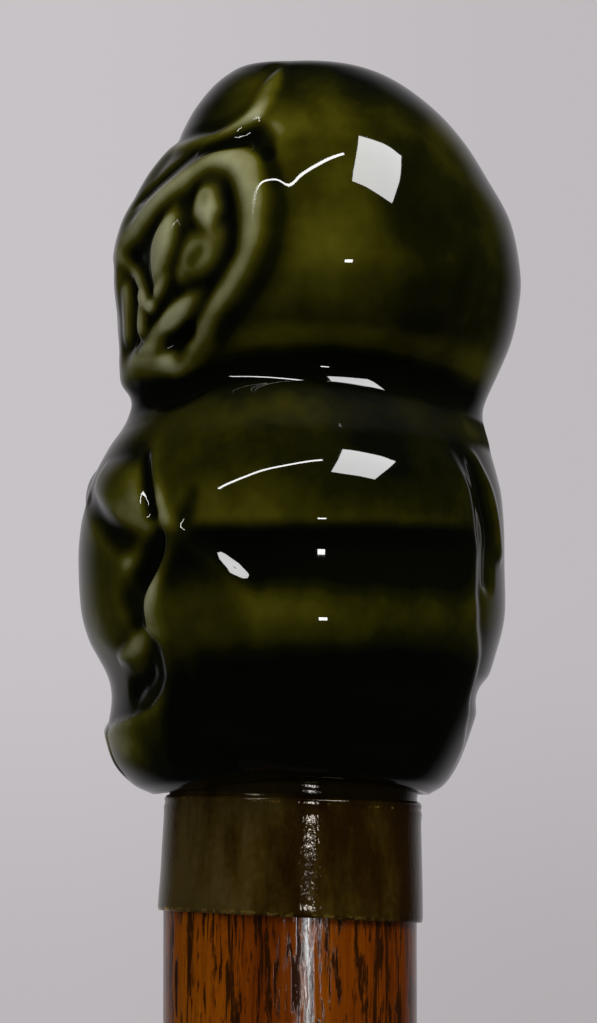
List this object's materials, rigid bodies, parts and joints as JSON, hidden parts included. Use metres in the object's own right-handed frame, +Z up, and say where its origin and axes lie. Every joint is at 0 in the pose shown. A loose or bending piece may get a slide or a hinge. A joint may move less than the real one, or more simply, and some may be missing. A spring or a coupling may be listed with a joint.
{
  "type": "walking cane",
  "caption": "Straight walking cane with a hollow glazed ceramic figure handle, thin brass collar, tapered hardwood shaft, brass cup and push-on rubber foot.",
  "frame": {"origin": "centre of the rubber foot's flat pad, on the floor", "axes": "+Z up along the shaft, -Y the way the figure faces, +X to the figure's left"},
  "size_m": [0.0408, 0.0422, 0.9158],
  "materials": {
    "green_glaze": "thick glossy green glaze, darker where it pools in the carving and paler on ridges",
    "bedding_cement": "cast cement",
    "zinced_steel": "zinc plated",
    "aged_brass": "tarnished to olive brown, bright where rubbed",
    "lacquered_hardwood": "orange brown with dark pores under clear lacquer",
    "tip_brass": "aged brass",
    "foot_rubber": "matt moulded rubber"
  },
  "bodies": {
    "cane": {"figure_handle": "green_glaze", "handle_core": "bedding_cement", "threaded_stud": "zinced_steel", "anchor_nut": "zinced_steel", "collar": "aged_brass", "shaft": "lacquered_hardwood", "tip_ferrule": "tip_brass", "ferrule_nail_left": "tip_brass", "ferrule_nail_right": "tip_brass"},
    "foot": {"rubber_foot": "foot_rubber", "foot_washer": "zinced_steel"}
  },
  "joints": [
    {"name": "foot_pull", "type": "slide", "parent": "cane", "child": "foot", "axis": [0, 0, -1], "range_m": [0, 0.04]}
  ]
}
